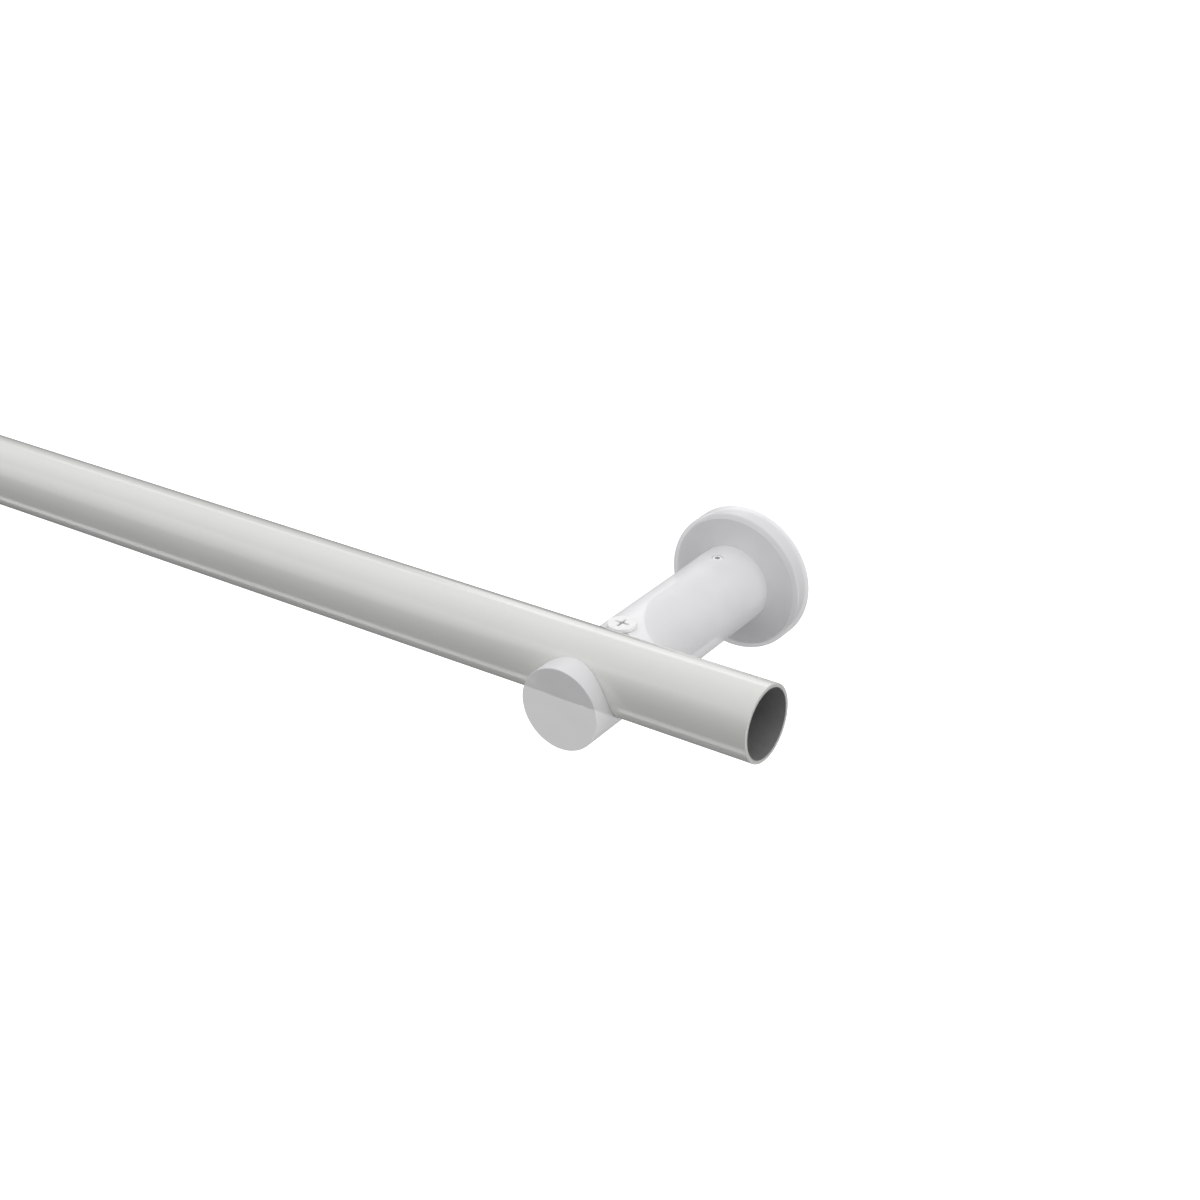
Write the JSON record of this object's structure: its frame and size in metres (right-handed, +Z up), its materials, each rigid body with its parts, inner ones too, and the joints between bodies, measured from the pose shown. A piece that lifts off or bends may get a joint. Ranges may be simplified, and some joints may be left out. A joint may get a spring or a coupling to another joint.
{
  "type": "curtain rod with brackets",
  "caption": "Round tubular curtain rod resting in the saddles of wall brackets, each a round arm with a cup-shaped rosette over its screwed wall plate.",
  "frame": {"origin": "in the wall plane, midway between the two brackets, at the height of the bracket arms' axes", "axes": "+X along the rod to the right as seen from the room, +Y into the wall, +Z up"},
  "size_m": [1.2, 0.1378, 0.0558],
  "materials": {
    "rod_lacquer": "glossy white lacquer",
    "bracket_white": "milky white, slightly see-through, satin gloss",
    "screw_white": "white lacquer, satin",
    "zinc_steel": "bright zinc plated",
    "spigot_metal": "turned, matt silver white"
  },
  "bodies": {
    "wall_fixing": {"left_wall_plate": "zinc_steel", "left_wall_screw_top": "zinc_steel", "left_wall_screw_low_left": "zinc_steel", "left_wall_screw_low_right": "zinc_steel", "left_spigot": "spigot_metal", "left_spigot_screw": "zinc_steel", "right_wall_plate": "zinc_steel", "right_wall_screw_top": "zinc_steel", "right_wall_screw_low_left": "zinc_steel", "right_wall_screw_low_right": "zinc_steel", "right_spigot": "spigot_metal", "right_spigot_screw": "zinc_steel"},
    "left_arm": {"left_arm": "bracket_white"},
    "right_arm": {"right_arm": "bracket_white"},
    "rod": {"rod": "rod_lacquer"},
    "left_rosette": {"left_rosette": "bracket_white"},
    "right_rosette": {"right_rosette": "bracket_white"},
    "left_clamp_screw": {"left_clamp_screw": "screw_white"},
    "right_clamp_screw": {"right_clamp_screw": "screw_white"},
    "left_grub_screw": {"left_grub_screw": "screw_white"},
    "right_grub_screw": {"right_grub_screw": "screw_white"}
  },
  "joints": [
    {"name": "left_arm_pull", "type": "slide", "parent": "wall_fixing", "child": "left_arm", "axis": [0, -1, 0], "range_m": [0, 0.024]},
    {"name": "right_arm_pull", "type": "slide", "parent": "wall_fixing", "child": "right_arm", "axis": [0, -1, 0], "range_m": [0, 0.024]},
    {"name": "rod_shift", "type": "slide", "parent": "left_arm", "child": "rod", "axis": [1, 0, 0], "range_m": [-0.05, 0.05]},
    {"name": "left_rosette_slide", "type": "slide", "parent": "wall_fixing", "child": "left_rosette", "axis": [0, -1, 0], "range_m": [0, 0.06]},
    {"name": "right_rosette_slide", "type": "slide", "parent": "wall_fixing", "child": "right_rosette", "axis": [0, -1, 0], "range_m": [0, 0.06]},
    {"name": "left_clamp_screw_turn", "type": "hinge", "parent": "left_arm", "child": "left_clamp_screw", "pos_m": [-0.531, -0.0853, 0.0151], "axis": [0, 0, 1], "range_deg": [0, 450]},
    {"name": "right_clamp_screw_turn", "type": "hinge", "parent": "right_arm", "child": "right_clamp_screw", "pos_m": [0.531, -0.0853, 0.0151], "axis": [0, 0, 1], "range_deg": [0, 450]},
    {"name": "left_grub_screw_turn", "type": "hinge", "parent": "left_arm", "child": "left_grub_screw", "pos_m": [-0.531, -0.0213, 0.0154], "axis": [0, 0, 1], "range_deg": [0, 390]},
    {"name": "right_grub_screw_turn", "type": "hinge", "parent": "right_arm", "child": "right_grub_screw", "pos_m": [0.531, -0.0213, 0.0154], "axis": [0, 0, 1], "range_deg": [0, 390]}
  ],
  "couplings": [
    {"joint": "right_arm_pull", "follows": "left_arm_pull", "ratio": 1}
  ]
}
